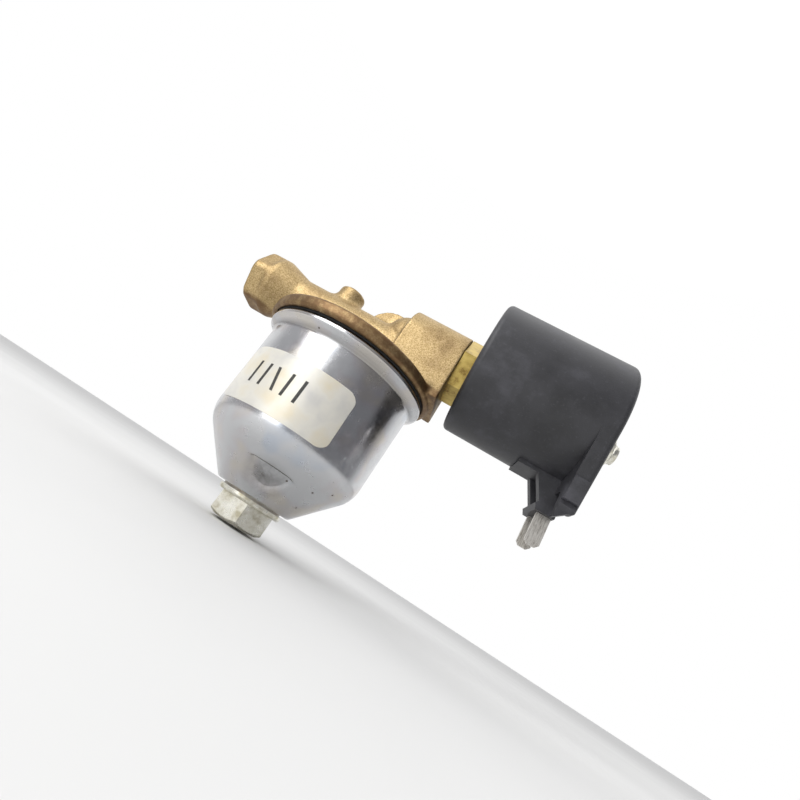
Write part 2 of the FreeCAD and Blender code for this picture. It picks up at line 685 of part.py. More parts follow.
def makeBowlFittings():
    lathe("bowl_seal", [("seal_inner + fit_gap", "-bowl_gap"), ("seal_outer - fit_gap", "-bowl_gap"),
                        ("seal_outer - fit_gap", "seal_depth"), ("seal_inner + fit_gap", "seal_depth")],
          "underside", "V_Axis")
    lathe("bolt_washer",
          [("bolt_radius + bolt_slack", "bolt_flange_top"), ("bolt_washer_radius", "bolt_flange_top"),
                          ("bolt_washer_radius", "-bowl_depth"), ("bolt_radius + bolt_slack", "-bowl_depth")],
          "underside", "V_Axis")
    bolt = lathe("bowl_bolt",
                 [("0", "bolt_flange_foot"), ("bolt_flange_radius - bolt_flange / 2", "bolt_flange_foot"),
                  ("bolt_flange_radius", "bolt_flange_foot + bolt_flange / 2", "bolt_flange / 2", 1),
                  ("bolt_flange_radius", "bolt_flange_top"), ("bolt_radius", "bolt_flange_top"),
                  ("bolt_radius", "bolt_end - bolt_bevel"), ("bolt_radius - bolt_bevel", "bolt_end"),
                  ("0", "bolt_end")], "underside", "V_Axis")
    sketch = addSketch(bolt, "XY_Plane", ("0", "0", "bolt_flange_foot"))
    outline(sketch, hexagon("bolt_hex", "bolt_hex_turn * 1 deg"))
    extrude(bolt, sketch, "bolt_hex_height", back=True)
    corner = "bolt_hex / sqrt(3) + bolt_bevel"
    sketch = addSketch(bolt, "XZ_Plane")
    outline(sketch, [("bolt_hex / 2 - bolt_bevel", "bolt_foot"), (corner, "bolt_foot"),
                     (corner, "bolt_foot + bolt_bevel_rise")])
    turn(bolt, sketch, "V_Axis", cuts=True)


def makeFilter():
    lathe("filter_gasket",
          [("filter_inner", "-filter_gasket"), ("filter_inner + filter_ring", "-filter_gasket"),
           ("filter_inner + filter_ring", "0"), ("filter_inner", "0")], "underside", "V_Axis")
    capRim = "filter_rim + filter_cap_wall"
    lathe("filter_top_cap", [("filter_inner", "cap_foot"), ("filter_rim", "cap_foot"),
                             ("filter_rim", "cap_foot - filter_cap_lip"),
                             (capRim, "cap_foot - filter_cap_lip"),
                             (capRim, "-filter_gasket"), ("filter_inner", "-filter_gasket")],
          "underside", "V_Axis")
    hole = "bolt_radius + bolt_slack"
    lathe("filter_bottom_cap", [(hole, "filter_base - filter_cap"), (capRim, "filter_base - filter_cap"),
                                (capRim, "filter_base + filter_cap_lip"),
                                ("filter_rim", "filter_base + filter_cap_lip"), ("filter_rim", "filter_base"),
                                (hole, "filter_base")], "underside", "V_Axis")
    element = lathe("filter_element",
                    [("filter_inner + fit_gap", "filter_base"), ("filter_outer", "filter_base"),
                                       ("filter_outer", "cap_foot"), ("filter_inner + fit_gap", "cap_foot")],
                    "underside", "V_Axis")
    sketch = addSketch(element, "XY_Plane", ("0", "0", "filter_base + filter_cap_lip"))
    outline(sketch, [("filter_outer - pleat_depth", "0"), ("filter_outer + pleat_depth", "-pleat_width"),
                     ("filter_outer + pleat_depth", "pleat_width")])
    groove = extrude(element, sketch, "filter_length - 2 * filter_cap_lip", cuts=True)
    repeatRound(element, groove, "pleat_count")

    tube = lathe("filter_tube",
                 [("filter_inner - filter_tube_wall", "filter_base"), ("filter_inner", "filter_base"),
                  ("filter_inner", "cap_foot"), ("filter_inner - filter_tube_wall", "cap_foot")],
                 "underside", "V_Axis")
    sketch = addSketch(tube, "XY_Plane", ("0", "0", "filter_base + filter_slot_width"))
    outline(sketch, box("filter_inner - filter_slot_width", "-filter_slot_width / 2",
                        "filter_inner + filter_slot_width", "filter_slot_width / 2"))
    slot = extrude(tube, sketch, "filter_length - 2 * filter_slot_width", cuts=True)
    repeatRound(tube, slot, "filter_slots")
    coilSpring("filter_spring", "bowl_spring_radius", "(bowl_depth - bowl_wall + filter_base - filter_cap)",
               "bowl_spring_turns", "bowl_wall - bowl_depth", "z", "underside")


def repeatRound(body, made, count):
    # the same cut all round the body's own Z axis
    pattern = body.newObject("PartDesign::PolarPattern", "PolarPattern")
    pattern.Originals = [made]
    axes = {feature.Role: feature for feature in body.Origin.OriginFeatures}
    pattern.Axis = (axes["Z_Axis"], [""])
    pattern.Angle = FULL_TURN
    pattern.setExpression("Occurrences", bound(count))
    body.Tip = pattern
    doc.recompute()


# ---- armature tube and what moves in it ----

def makeArmature():
    ringEnd = "block_end - ring_edge"
    ringStart = "block_end - ring_edge - ring_width"
    base = lathe("armature_base",
                 [("thread_start", "base_bore"), ("thread_start", "base_thread_radius - flange_edge"),
                                   ("thread_start + flange_edge", "base_thread_radius"),
                                   (ringStart, "base_thread_radius"), (ringStart, "ring_inner"),
                                   (ringEnd, "ring_inner"), (ringEnd, "base_thread_radius"),
                                   ("block_end", "base_thread_radius"), ("block_end", "hex_collar"),
                                   ("coil_start", "hex_collar"), ("coil_start", "base_bore")])
    sketch = addSketch(base, "YZ_Plane", ("0", "0", "block_end"))
    ring(sketch, "0", "0", "base_bore")
    outline(sketch, hexagon("hex_flats", "hex_turn * 1 deg"))
    extrude(base, sketch, "hex_length")
    lathe("base_seal", [(ringStart + " + fit_gap", "ring_inner + fit_gap"),
                        (ringStart + " + fit_gap", "base_thread_radius"),
                        (ringEnd + " - fit_gap", "base_thread_radius"),
                        (ringEnd + " - fit_gap", "ring_inner + fit_gap")])
    lathe("armature_tube", [("thread_start", "tube_bore"), ("thread_start", "tube_radius"),
                            ("core_end", "tube_radius"), ("core_end", "tube_bore")])

    plunger = lathe("plunger", [("plunger_front", "0"), ("plunger_front", "plunger_radius - flange_edge"),
                                ("plunger_front + flange_edge", "plunger_radius"),
                                ("plunger_rear - flange_edge", "plunger_radius"),
                                ("plunger_rear", "plunger_radius - flange_edge"), ("plunger_rear", "0")])
    bar(plunger, "YZ_Plane", ("0", "0", "plunger_front"), "pad_radius + fit_gap", "pad_depth - pad_lip",
        cuts=True)
    bar(plunger, "YZ_Plane", ("0", "0", "plunger_rear"), "return_spring_bore", "return_spring_depth",
        cuts=True, back=True)
    sketch = addSketch(plunger, "YZ_Plane", ("0", "0", "plunger_front"))
    for side in ("", "-"):
        outline(sketch, box(side + "(plunger_radius - gas_slot)", "-gas_slot / 2",
                            side + "(plunger_radius + gas_slot)", "gas_slot / 2"))
    extrude(plunger, sketch, "plunger_length", cuts=True)
    lathe("plunger_seal",
          [("seat_nose", "0"), ("seat_nose", "pad_radius"), ("seat_nose + pad_depth", "pad_radius"),
           ("seat_nose + pad_depth", "0")])
    coreRadius = "tube_bore - fit_gap"
    core = lathe("fixed_core", [("core_start", "0"), ("core_start", coreRadius + " - flange_edge"),
                                ("core_start + flange_edge", coreRadius), ("core_end", coreRadius),
                                ("core_end", "0")])
    bar(core, "YZ_Plane", ("0", "0", "core_start"), "return_spring_bore", "return_spring_seat", cuts=True)
    bar(core, "YZ_Plane", ("0", "0", "core_end"), "screw_thread + fit_gap", "screw_depth", cuts=True,
        back=True)
    coilSpring("return_spring", "return_spring_radius", "(return_spring_depth + stroke + return_spring_seat)",
               "return_spring_turns", "plunger_rear - return_spring_depth", "x", "tube_height")


# ---- coil: bobbin, winding, yoke, moulded housing with its connector, blades and screw ----

def makeCoilInside():
    woundStart = "yoke_first + bobbin_flange"
    woundEnd = "yoke_last - bobbin_flange"
    lathe("bobbin",
          [("yoke_first", "coil_bore"), ("yoke_first", "bobbin_radius"), (woundStart, "bobbin_radius"),
                     (woundStart, "bobbin_core"), (woundEnd, "bobbin_core"), (woundEnd, "bobbin_radius"),
                     ("yoke_last", "bobbin_radius"), ("yoke_last", "coil_bore")])
    lathe("winding", [(woundStart, "bobbin_core + fit_gap"), (woundStart, "winding_radius"),
                      (woundEnd, "winding_radius"), (woundEnd, "bobbin_core + fit_gap")])
    yoke = addBody("yoke", "tube_height")
    sketch = addSketch(yoke, "XZ_Plane", ("0", "0", "-(yoke_width) / 2"))
    outline(sketch,
            [("yoke_start", "-(yoke_drop)"), ("yoke_first", "-(yoke_drop)"), ("yoke_first", "yoke_web"),
                     ("yoke_last", "yoke_web"), ("yoke_last", "-(yoke_drop)"), ("yoke_end", "-(yoke_drop)"),
                     ("yoke_end", "yoke_top"), ("yoke_start", "yoke_top")])
    extrude(yoke, sketch, "yoke_width")
    bar(yoke, "YZ_Plane", ("0", "0", "yoke_start"), "coil_bore", "coil_length", cuts=True)
    bends = valueOf("yoke_start"), valueOf("yoke_end")
    top = valueOf("yoke_top")
    soften(yoke, "yoke_round", lambda edge: abs(edge.CenterOfMass.z - top) < CLOSE
           and min(abs(edge.CenterOfMass.x - place) for place in bends) < CLOSE)


def makeHousing():
    body = addBody("coil_housing", "tube_height")
    bar(body, "YZ_Plane", ("0", "coil_rise", "coil_start"), "coil_radius", "coil_length")

    # hood: tangent sides run down from the round of the coil to two ears
    sketch = addSketch(body, "YZ_Plane", ("0", "0", "hood_start"))
    outline(sketch,
            [("-(hood_side)", "hood_rise"), ("-(hood_inner)", "hood_foot"), ("hood_inner", "hood_foot"),
                     ("hood_side", "hood_rise")])
    extrude(body, sketch, "hood_depth")
    startRim = valueOf("coil_start")
    endRim = valueOf("coil_end")
    soften(body, "coil_end_round", lambda edge: liesAcross(edge, endRim))
    soften(body, "coil_round", lambda edge: isRing(edge, startRim, "x"))

    # bevelled ears below the hood, with the arch between them for the plug
    earBack = "coil_end - coil_end_round"
    sketch = addSketch(body, "XZ_Plane", ("0", "0", "-(hood_inner)"))
    outline(sketch,
            [("hood_start", "hood_foot"), ("hood_start", "hood_foot - hood_drop"), (earBack, "hood_foot"),
                     (earBack, "hood_foot + hood_drop"), ("hood_start", "hood_foot + hood_drop")])
    extrude(body, sketch, "2 * hood_inner")
    sketch = addSketch(body, "YZ_Plane", ("0", "0", "hood_start"))
    outline(sketch, box("-(hood_inner - hood_wall)", "hood_foot - 2 * hood_drop", "hood_inner - hood_wall",
                        "hood_foot + hood_arch"))
    extrude(body, sketch, "hood_depth", cuts=True)

    # terminal carrier with two gussets and a collar round each blade
    carrierEnd = "blade_end + blade_cover"
    sketch = addSketch(body, "XZ_Plane", ("0", "0", "-carrier_width / 2"))
    outline(sketch, box("carrier_start", "carrier_foot", "hood_start", "carrier_top + carrier_depth"))
    extrude(body, sketch, "carrier_width")
    for way in ("-1", "1"):
        place = "%s * (carrier_width - gusset_wall) / 2 - gusset_wall / 2" % way
        sketch = addSketch(body, "XZ_Plane", ("0", "0", place))
        outline(sketch,
                [("gusset_start", "carrier_foot"), ("gusset_corner", "gusset_low"),
                 (carrierEnd, "gusset_low"),
                         (carrierEnd, "carrier_top"), ("gusset_start", "carrier_top")])
        extrude(body, sketch, "gusset_wall")
    sketch = addSketch(body, "XZ_Plane", ("0", "0", "-carrier_width / 2"))
    outline(sketch, box("gusset_corner + slot_depth", "gusset_low", carrierEnd, "carrier_top"))
    extrude(body, sketch, "carrier_width")
    collarEnd = "blade_end + collar_edge / 2"
    sketch = addSketch(body, "XZ_Plane", ("0", "0", "-carrier_width / 2 - collar_edge"))
    outline(sketch,
            [("collar_start", "gusset_low - collar_edge"), ("collar_start + collar_edge", "collar_low"),
                     (collarEnd, "collar_low"), (collarEnd, "gusset_low + collar_edge"),
                     ("gusset_corner", "gusset_low + collar_edge")])
    extrude(body, sketch, "carrier_width + 2 * collar_edge")

    # raised pad and the groove below it on each slanted side
    for corner in ("-1", "1"):
        edge = corner + " * (hood_side - (hood_rise - coil_foot + %s) / tan(hood_angle * 1 deg))"
        upper = edge % "hood_pad_top"
        lower = edge % "hood_pad_bottom"
        padTop = "coil_foot - hood_pad_top"
        padFoot = "coil_foot - hood_pad_bottom"
        proud = " + %s * hood_pad" % corner
        sketch = addSketch(body, "YZ_Plane", ("0", "0", "hood_start"))
        outline(sketch,
                [("(%s) * pad_keep" % upper, padTop), (upper + proud, padTop), (lower + proud, padFoot),
                         ("(%s) * pad_keep" % lower, padFoot)])
        extrude(body, sketch, "hood_depth - hood_pad")
        sketch = addSketch(body, "YZ_Plane", ("0", "0", "hood_start"))
        grooveFoot = padFoot + " - hood_groove"
        sunk = "%s - %s * hood_pad" % (lower, corner)
        outline(sketch,
                [(sunk, padFoot), (lower + proud + proud, padFoot), (lower + proud + proud, grooveFoot),
                         (sunk, grooveFoot)])
        extrude(body, sketch, "hood_depth", cuts=True)

    # room for the tube, bobbin and yoke
    bar(body, "YZ_Plane", ("0", "0", "coil_start"), "coil_bore", "coil_length", cuts=True)
    bar(body, "YZ_Plane", ("0", "0", "yoke_first"), "bobbin_radius + fit_gap", "yoke_last - yoke_first",
        cuts=True)
    room = (("yoke_start", "yoke_first", "-(yoke_drop) - fit_gap"),
            ("yoke_last", "yoke_end", "-(yoke_drop) - fit_gap"),
            ("yoke_first", "yoke_last", "yoke_web - fit_gap"))
    for start, end, low in room:
        sketch = addSketch(body, "XZ_Plane", ("0", "0", "-(yoke_width) / 2 - fit_gap"))
        outline(sketch, box(start, low, end, "yoke_top + fit_gap"))
        extrude(body, sketch, "yoke_width + 2 * fit_gap", cuts=True)

    # slots that hold the blades
    for way in ("-1", "1"):
        place = "%s * blade_pitch / 2 - blade_thick / 2 - fit_gap" % way
        sketch = addSketch(body, "XZ_Plane", ("0", "0", place))
        outline(sketch, box("blade_start - fit_gap", "blade_low", "blade_end + fit_gap", "blade_high"))
        extrude(body, sketch, "blade_thick + 2 * fit_gap", cuts=True)


def liesAcross(edge, place):
    # an edge of the flat end face at a given place along the body's X axis
    ends = [vertex.X for vertex in edge.Vertexes] + [edge.CenterOfMass.x]
    return all(abs(end - place) < CLOSE for end in ends)


def makeBlades():
    for label, way in (("front_blade", "1"), ("rear_blade", "-1")):
        body = addBody(label, "tube_height")
        sketch = addSketch(body, "XZ_Plane", ("0", "0", "%s * blade_pitch / 2 - blade_thick / 2" % way))
        outline(sketch,
                [("blade_start", "blade_low + blade_chamfer"), ("blade_start + blade_chamfer", "blade_low"),
                 ("blade_end - blade_chamfer", "blade_low"), ("blade_end", "blade_low + blade_chamfer"),
                 ("blade_end", "blade_high"), ("blade_start", "blade_high")])
        extrude(body, sketch, "blade_thick")


def makeCoilScrew():
    hole = "screw_thread + fit_gap"
    lathe("coil_washer", [("coil_end", hole), ("coil_end", "washer_radius"), ("washer_end", "washer_radius"),
                          ("washer_end", hole)])
    tip = "core_end - screw_depth + screw_tip_gap"
    screw = lathe("coil_screw", [(tip, "0"), (tip, "screw_thread"), ("washer_end", "screw_thread"),
                                 ("washer_end", "screw_radius"), ("screw_top - screw_round", "screw_radius"),
                                 ("screw_top", "screw_radius - screw_round", "screw_round",
                                  1), ("screw_top", "0")])
    sketch = addSketch(screw, "YZ_Plane", ("0", "0", "screw_top"))
    outline(sketch, hexagon("screw_socket", "0 deg"))
    extrude(screw, sketch, "screw_socket_depth", cuts=True, back=True)


makers = (makeValveBody, makeSeat, makeBowl, makeLabel, makeBowlFittings, makeFilter, makeArmature,
          makeCoilInside, makeHousing, makeBlades, makeCoilScrew)
for maker in makers:
    maker()
doc.recompute()

faults = [item.Name for item in doc.Objects if set(item.State) & {"Invalid", "Error"}]
faults += [label for label, piece in pieces.items() if piece.Shape.isNull() or not piece.Shape.isValid()]
if faults:
    raise RuntimeError("these did not build: " + ", ".join(faults))
os.makedirs("parts", exist_ok=True)
for label, piece in pieces.items():
    piece.Shape.exportStep("parts/%s.step" % label)
    print("%-18s %9.2f mm3, %d solid" % (label, piece.Shape.Volume, len(piece.Shape.Solids)))
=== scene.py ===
import bpy
import bmesh
import json
import math
import numpy as np
from mathutils import Matrix, Vector, noise


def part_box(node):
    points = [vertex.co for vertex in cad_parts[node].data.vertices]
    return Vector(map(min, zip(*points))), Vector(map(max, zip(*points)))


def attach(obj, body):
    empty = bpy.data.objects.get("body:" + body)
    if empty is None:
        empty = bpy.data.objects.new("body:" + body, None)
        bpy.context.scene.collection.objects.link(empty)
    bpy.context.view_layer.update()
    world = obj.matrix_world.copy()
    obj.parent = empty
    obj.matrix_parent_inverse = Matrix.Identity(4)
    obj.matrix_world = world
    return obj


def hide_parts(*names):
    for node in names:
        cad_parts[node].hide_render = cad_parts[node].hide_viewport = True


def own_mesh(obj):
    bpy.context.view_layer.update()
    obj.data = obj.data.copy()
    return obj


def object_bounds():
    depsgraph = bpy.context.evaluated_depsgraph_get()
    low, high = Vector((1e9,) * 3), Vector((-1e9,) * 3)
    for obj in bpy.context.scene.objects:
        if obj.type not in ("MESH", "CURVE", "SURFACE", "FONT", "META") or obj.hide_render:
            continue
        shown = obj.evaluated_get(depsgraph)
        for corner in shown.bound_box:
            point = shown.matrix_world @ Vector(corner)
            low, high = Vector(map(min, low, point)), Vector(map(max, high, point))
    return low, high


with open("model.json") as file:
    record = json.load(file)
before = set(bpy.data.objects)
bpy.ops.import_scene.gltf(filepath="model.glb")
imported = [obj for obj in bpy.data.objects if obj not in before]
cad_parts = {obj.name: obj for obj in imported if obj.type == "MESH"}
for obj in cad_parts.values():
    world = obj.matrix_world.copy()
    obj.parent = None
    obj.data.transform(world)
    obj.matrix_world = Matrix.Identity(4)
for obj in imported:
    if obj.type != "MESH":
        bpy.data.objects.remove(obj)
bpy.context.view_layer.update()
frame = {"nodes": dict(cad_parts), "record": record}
mm = 0.001
nodes = frame["nodes"]
record = frame["record"]
ports = {mount["name"]: mount for mount in record["mounts"]}


# small helpers

def toLinear(hexText):
    # sRGB hex to the linear colour that the shaders use
    parts = [int(hexText[i:i + 2], 16) / 255 for i in (1, 3, 5)]
    return tuple(v / 12.92 if v <= 0.04045 else ((v + 0.055) / 1.055) ** 2.4 for v in parts) + (1.0,)


def addNode(tree, kind, settings=None, links=None):
    # one shader node with its settings and its links; a socket goes by name or number
    node = tree.nodes.new("ShaderNode" + kind)
    for key, value in (settings or {}).items():
        if key == "stops":
            ramp = node.color_ramp
            while len(ramp.elements) < len(value):
                ramp.elements.new(0.5)
            for element, (place, colour) in zip(ramp.elements, value):
                element.position = place
                element.color = toLinear(colour)
        elif isinstance(key, int) or key in node.inputs:
            node.inputs[key].default_value = value
        else:
            setattr(node, key, value)
    for key, source in (links or {}).items():
        tree.links.new(source, node.inputs[key])
    return node


def newMaterial(name, settings):
    # a material with only its principled shader, and the object's own coordinates in metres
    material = bpy.data.materials.new(name)
    material.use_nodes = True
    tree = material.node_tree
    tree.nodes.clear()
    shader = addNode(tree, "BsdfPrincipled", settings)
    output = addNode(tree, "OutputMaterial", None, {"Surface": shader.outputs[0]})
    place = addNode(tree, "TexCoord").outputs["Object"]
    return material, tree, shader, place


def grain(tree, place, size, detail=3.0, rough=0.55, stretch=(1, 1, 1)):
    # noise whose blotches are about size across, in mm
    mapping = addNode(tree, "Mapping", {"Scale": stretch}, {"Vector": place})
    return addNode(tree, "TexNoise", {"Scale": 1 / (size * mm), "Detail": detail, "Roughness": rough},
                   {"Vector": mapping.outputs[0]}).outputs[0]


def rampOf(tree, source, stops):
    return addNode(tree, "ValToRGB", {"stops": stops}, {"Fac": source}).outputs[0]


def between(tree, source, low, high, fromLow=0.0, fromHigh=1.0):
    return addNode(tree, "MapRange", {"From Min": fromLow, "From Max": fromHigh, "To Min": low, "To Max": high},
                   {"Value": source}).outputs[0]


def mixed(tree, factor, first, second, blend="MIX"):
    # colours mixed by a socket or a number
    settings = {"data_type": "RGBA", "blend_type": blend}
    links = {6: first}
    if isinstance(second, str):
        settings[7] = toLinear(second)
    else:
        links[7] = second
    if isinstance(factor, float):
        settings[0] = factor
    else:
        links[0] = factor
    node = tree.nodes.new("ShaderNodeMix")
    node.data_type = "RGBA"
    node.blend_type = blend
    for key, value in settings.items():
        if isinstance(key, int):
            node.inputs[key].default_value = value
    for key, source in links.items():
        tree.links.new(source, node.inputs[key])
    return node.outputs[2]


def sweep(build, rows):
    # closed skin through rows of corners, capped at both ends
    for a, b in zip(rows, rows[1:]):
        for corner in range(len(a)):
            after = (corner + 1) % len(a)
            build.faces.new((a[corner], a[after], b[after], b[corner]))
    build.faces.new(rows[0][::-1])
    build.faces.new(rows[-1])


def bumpOn(tree, shader, height, depth, strength=1.0, base=None):
    # depth is the real height of the relief in mm
    links = {"Height": height}
    if base is not None:
        links["Normal"] = base
    bump = addNode(tree, "Bump", {"Strength": strength, "Distance": depth * mm}, links)
    tree.links.new(bump.outputs[0], shader.inputs["Normal"])
    return bump.outputs[0]


# sizes of the drawn bowl, mm; its finish needs the place of the dish
bowl = {
    "turns": 256,             # points round the bowl
    "wall": 0.9,
    "radius": 20.9, "footRadius": 20.3, "seatRadius": 9.6,
    "lipRadius": 23.1, "lipHeight": 1.9, "lipRound": 0.85, "lipGap": 0.3,
    "neck": 3.2, "shoulder": 28.6, "shoulderRound": 8.5, "depth": 40.3, "footRound": 1.4,
    "hole": 4.4,
    "dishTurn": 16.0, "dishReach": 21.1, "dishDrop": 38.2, "dishEdge": 33.3, "dishRadius": 9.7,
    "dishBlend": 0.8, "edgeBlend": 0.25,
}


# finishes

def forgedBrass():
    # hot-forged brass, shot blasted: soft grainy tan-gold, browner where flux and oil have sat
    look = {"light": "#c8b088", "base": "#b69e72", "dark": "#98825a", "tarnish": "#7a6146",
            "grainMm": 0.32, "patchMm": 7.0, "flangeBand": 3.0}
    material, tree, shader, place = newMaterial("forgedBrass", {"Metallic": 1.0, "Roughness": 0.52})
    fine = grain(tree, place, look["grainMm"], 2.0, 0.6)
    patch = grain(tree, place, look["patchMm"], 4.0, 0.6)
    colour = rampOf(tree, fine, [(0.36, look["dark"]), (0.5, look["base"]), (0.66, look["light"])])
    colour = mixed(tree, between(tree, patch, 0.0, 0.4, 0.5, 0.72), colour, look["tarnish"])
    # the flange's turned rim is darker than the blasted faces
    height = addNode(tree, "SeparateXYZ", None, {"Vector": place}).outputs[2]
    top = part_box("bowl_seal")[0][2] + (look["flangeBand"] + 0.9) * mm
    band = between(tree, height, 0.95, 0.0, top - 0.5 * mm, top)
    streak = grain(tree, place, 2.2, 4.0, 0.65)
    worn = addNode(tree, "Math", {"operation": "MULTIPLY", "use_clamp": True},
                   {0: band, 1: between(tree, streak, 0.55, 1.25, 0.35, 0.65)}).outputs[0]
    colour = mixed(tree, worn, colour, look["tarnish"])
    tree.links.new(colour, shader.inputs["Base Color"])
    tree.links.new(between(tree, patch, 0.44, 0.6, 0.35, 0.7), shader.inputs["Roughness"])
    bumpOn(tree, shader, fine, 0.05, 0.9)
    return material


def turnedBrass():
    # machined brass bar: smoother, yellower and greener than the forging, with faint tool lines
    look = {"light": "#d0b970", "base": "#b79f5c", "dark": "#7d6638", "toolMm": 0.3}
    material, tree, shader, place = newMaterial("turnedBrass", {"Metallic": 1.0, "Roughness": 0.3})
    patch = grain(tree, place, 3.0, 4.0, 0.6)
    lines = grain(tree, place, look["toolMm"], 1.0, 0.5, (1, 0.05, 0.05))
    colour = rampOf(tree, patch, [(0.3, look["dark"]), (0.5, look["base"]), (0.72, look["light"])])
    tree.links.new(colour, shader.inputs["Base Color"])
    tree.links.new(between(tree, patch, 0.24, 0.42, 0.3, 0.7), shader.inputs["Roughness"])
    bumpOn(tree, shader, lines, 0.01, 0.5)
    return material


def brightZinc():
    # deep-drawn steel, electroplated in bright zinc: mirror grey with a faint blue and straw bloom,
    # draw lines down the wall and small dark pits
    look = {"base": "#c8c9cb", "blue": "#aab8cc", "straw": "#cdbfa8", "pink": "#c2babc", "pit": "#7d7871",
            "dull": "#6f6c69",
            "bloomMm": 9.0, "drawMm": 0.5, "pitMm": 5.5}
    material, tree, shader, place = newMaterial("brightZinc", {"Metallic": 1.0, "Roughness": 0.3})
    bloom = grain(tree, place, look["bloomMm"], 2.0, 0.5)
    colour = rampOf(tree, bloom, [(0.34, look["straw"]), (0.44, look["pink"]), (0.5, look["base"]),
                                  (0.6, look["base"]), (0.72, look["blue"])])
    colour = mixed(tree, 0.62, colour, look["base"])
    haze = grain(tree, place, 2.5, 5.0, 0.65)
    draw = grain(tree, place, look["drawMm"], 3.0, 0.6, (1, 1, 0.06))
    spots = addNode(tree, "TexVoronoi", {"Scale": 1 / (look["pitMm"] * mm), "Randomness": 1.0}, {"Vector": place})
    pit = between(tree, spots.outputs["Distance"], 1.0, 0.0, 0.035, 0.06)
    colour = mixed(tree, pit, colour, look["pit"])
    # painted shade and dark reflection in the pressed dish, and painted shade along the neck crease
    low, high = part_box("filter_bowl")
    axis = (low[0] + high[0]) / 2
    turn = math.radians(bowl["dishTurn"])
    reach = bowl["dishReach"] - 7.5
    middle = (axis + reach * mm * math.sin(turn), -reach * mm * math.cos(turn), low[2] + 4.6 * mm)
    away = addNode(tree, "VectorMath", {"operation": "DISTANCE", 1: middle}, {0: place}).outputs["Value"]
    # painted shade: darker towards the dish's middle, broken up by the haze noise
    paintedDishShade = addNode(tree, "Math", {"operation": "MULTIPLY", "use_clamp": True},
                     {0: between(tree, away, 0.6, 0.0, 1.0 * mm, 6.0 * mm),
                      1: between(tree, haze, 0.5, 1.3, 0.35, 0.6)}).outputs[0]
    colour = mixed(tree, paintedDishShade, colour, look["dull"])
    # painted shade: a narrow darker band round the neck crease, 3 mm below the bowl's top
    height = addNode(tree, "SeparateXYZ", None, {"Vector": place}).outputs[2]
    neck = addNode(tree, "Math", {"operation": "SUBTRACT", 1: high[2] - 3.0 * mm}, {0: height}).outputs[0]
    paintedCreaseShade = between(tree, addNode(tree, "Math", {"operation": "ABSOLUTE"}, {0: neck}).outputs[0],
                     0.55, 0.0, 0.1 * mm, 0.9 * mm)
    colour = mixed(tree, paintedCreaseShade, colour, look["dull"])
    tree.links.new(colour, shader.inputs["Base Color"])
    rough = addNode(tree, "Math", {"operation": "ADD"},
                    {0: between(tree, haze, 0.14, 0.32, 0.3, 0.75), 1: between(tree, pit, 0.0, 0.4)}).outputs[0]
    tree.links.new(rough, shader.inputs["Roughness"])
    first = bumpOn(tree, shader, draw, 0.012, 0.5)
    bumpOn(tree, shader, grain(tree, place, 5.0, 2.0, 0.5), 0.05, 0.5, first)
    return material


def hardwareZinc():
    # zinc-plated fastener steel: bright cream-white faces with dull olive handling stains
    look = {"light": "#f0eee4", "base": "#e2dfd2", "stain": "#b8b199", "grainMm": 3.2}
    material, tree, shader, place = newMaterial("hardwareZinc", {"Metallic": 1.0, "Roughness": 0.28})
    patch = grain(tree, place, look["grainMm"], 5.0, 0.65)
    colour = rampOf(tree, patch, [(0.32, look["stain"]), (0.48, look["base"]), (0.62, look["light"])])
    tree.links.new(colour, shader.inputs["Base Color"])
    tree.links.new(between(tree, patch, 0.38, 0.2, 0.3, 0.7), shader.inputs["Roughness"])
    bumpOn(tree, shader, grain(tree, place, 0.8, 3.0, 0.6), 0.004, 0.5)
    return material


def mouldedNylon():
    # glass-filled nylon from a spark-eroded mould: charcoal satin with fine grain, dusty lighter patches
    look = {"base": "#2e2e32", "dust": "#4a4a50", "deep": "#202023", "sparkMm": 0.35, "dustMm": 11.0}
    material, tree, shader, place = newMaterial("mouldedNylon", {"Roughness": 0.46, "IOR": 1.53,
                                                                 "Specular IOR Level": 0.55})
    spark = grain(tree, place, look["sparkMm"], 2.0, 0.5)
    dust = grain(tree, place, look["dustMm"], 5.0, 0.6)
    specks = grain(tree, place, 0.7, 2.0, 0.7)
    colour = rampOf(tree, dust, [(0.35, look["deep"]), (0.55, look["base"]), (0.75, look["dust"])])
    colour = mixed(tree, between(tree, specks, 0.0, 0.35, 0.6, 0.75), colour, look["dust"])
    tree.links.new(colour, shader.inputs["Base Color"])
    tree.links.new(between(tree, dust, 0.42, 0.56, 0.35, 0.7), shader.inputs["Roughness"])
    bumpOn(tree, shader, spark, 0.03, 0.6)
    return material


def labelFilm():
    # aged satin polyester label: off-white, warm where the glue has yellowed, weak metallic sheen
    look = {"base": "#e0ddd3", "aged": "#dfd6c0", "grey": "#d0cec9"}
    material, tree, shader, place = newMaterial("labelFilm", {"Metallic": 0.25, "Roughness": 0.36})
    patch = grain(tree, place, 8.0, 3.0, 0.5)
    colour = rampOf(tree, patch, [(0.34, look["grey"]), (0.5, look["base"]), (0.66, look["aged"])])
    tree.links.new(colour, shader.inputs["Base Color"])
    bumpOn(tree, shader, grain(tree, place, 1.2, 3.0, 0.5), 0.01, 0.4)
    return material


def printInk():
    # flat black thermal-transfer ink, slightly broken up
    material, tree, shader, place = newMaterial("printInk", {"Roughness": 0.6})
    wear = grain(tree, place, 0.3, 3.0, 0.7)
    tree.links.new(rampOf(tree, wear, [(0.3, "#57554f"), (0.5, "#33322f"), (0.7, "#2b2a28")]),
                   shader.inputs["Base Color"])
    return material


